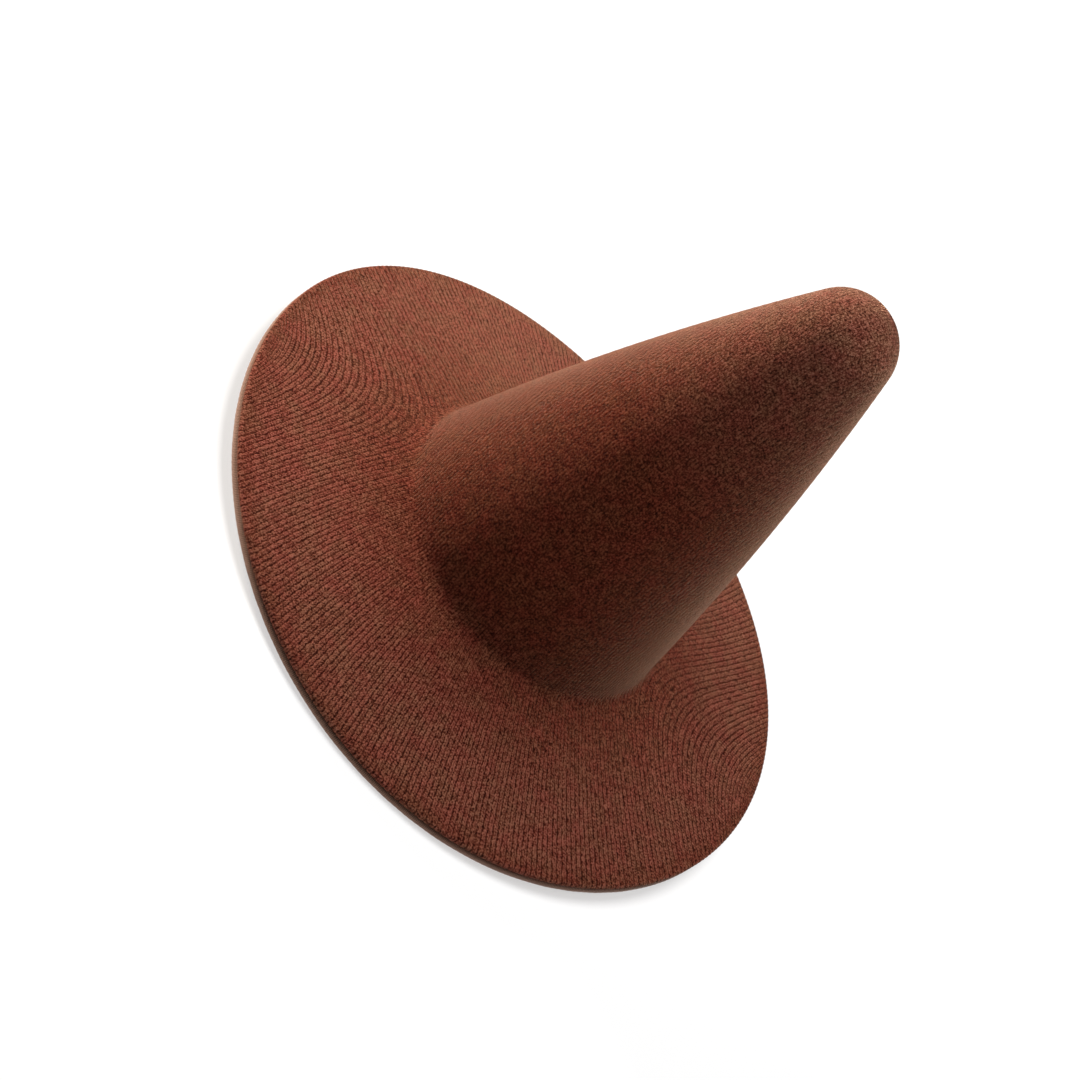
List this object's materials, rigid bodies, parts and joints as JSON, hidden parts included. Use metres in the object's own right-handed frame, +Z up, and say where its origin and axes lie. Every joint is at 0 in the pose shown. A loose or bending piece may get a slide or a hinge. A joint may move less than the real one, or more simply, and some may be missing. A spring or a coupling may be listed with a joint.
{
  "type": "witch hat",
  "caption": "Pointed witch hat with a wide round brim: ribbed knitted wool cover over a stiff foam form, with wired edge, piping, lining and sweatband",
  "frame": {"origin": "centre of the hat's footprint, on the surface that the brim's edge stands on", "axes": "+Z up along the crown to the tip, -Y the front, +Y the back where the label, the crown's seam and the wire's ferrule are"},
  "size_m": [0.4099, 0.41, 0.338],
  "materials": {
    "brown_knit": "ribbed wool knit, felted on the crown",
    "form_foam": "dense needle-punched foam sheet",
    "seam_tape": "woven cotton tape",
    "lining_fabric": "satin lining",
    "facing_knit": "fine ribbed knit",
    "piping_fabric": "wool fabric rolled round a cord",
    "cotton_cord": "twisted cotton",
    "spring_steel": "drawn wire",
    "ferrule_brass": "crimped tube",
    "grosgrain": "ribbed grosgrain ribbon",
    "sewing_thread": "twisted polyester thread",
    "label_fabric": "woven damask, blank",
    "tag_fabric": "satin ribbon, blank",
    "label_thread": "twisted polyester thread"
  },
  "bodies": {
    "root": {"knit_cover": "brown_knit", "crown_foam": "form_foam", "tip_foam": "form_foam", "brim_foam": "form_foam", "crown_seam_tape": "seam_tape", "tip_seam_tape": "seam_tape", "brim_seam_tape": "seam_tape", "crown_lining": "lining_fabric", "under_brim": "facing_knit", "edge_piping": "piping_fabric", "piping_cord": "cotton_cord", "edge_wire": "spring_steel", "wire_ferrule": "ferrule_brass", "sweatband": "grosgrain", "hem_stitches": "sewing_thread", "band_stitches": "sewing_thread", "woven_label": "label_fabric", "care_tag": "tag_fabric", "label_stitches": "label_thread"}
  },
  "joints": []
}
